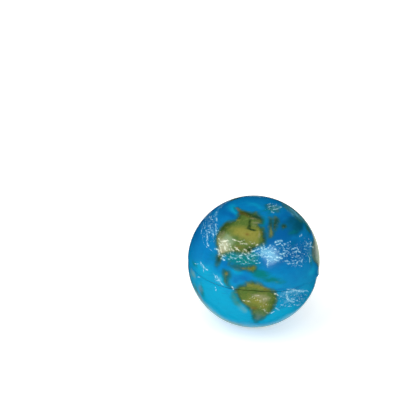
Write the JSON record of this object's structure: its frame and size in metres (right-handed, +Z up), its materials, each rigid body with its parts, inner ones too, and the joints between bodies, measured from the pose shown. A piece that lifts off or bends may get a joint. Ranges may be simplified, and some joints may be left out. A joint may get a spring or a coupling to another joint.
{
  "type": "stress ball",
  "caption": "Soft foam ball in a glossy printed globe skin with an equator seam; it is squeezed in the hand and springs back.",
  "frame": {"origin": "centre of the small flat resting patch at the lower pole", "axes": "+Z up through the poles, -Y out of the side that shows the two American continents, +X towards the map's east"},
  "size_m": [0.0634, 0.0634, 0.0632],
  "materials": {
    "foam": "matt soft polyurethane foam",
    "film_north": "glossy printed film, blue sea with green and ochre land and white cloud",
    "film_south": "glossy printed film, blue sea with green and ochre land and white cloud",
    "fused_film": "dark satin"
  },
  "bodies": {
    "lower_half": {"south_skin": "film_south", "foam_core": "foam", "seam_weld": "fused_film"},
    "upper_half": {"north_skin": "film_north"}
  },
  "joints": [
    {"name": "squeeze", "type": "slide", "parent": "lower_half", "child": "upper_half", "axis": [0, 0, -1], "range_m": [0, 0.02], "stiffness_N_per_m": 1500, "deforming": ["foam_core", "seam_weld", "south_skin"]}
  ]
}
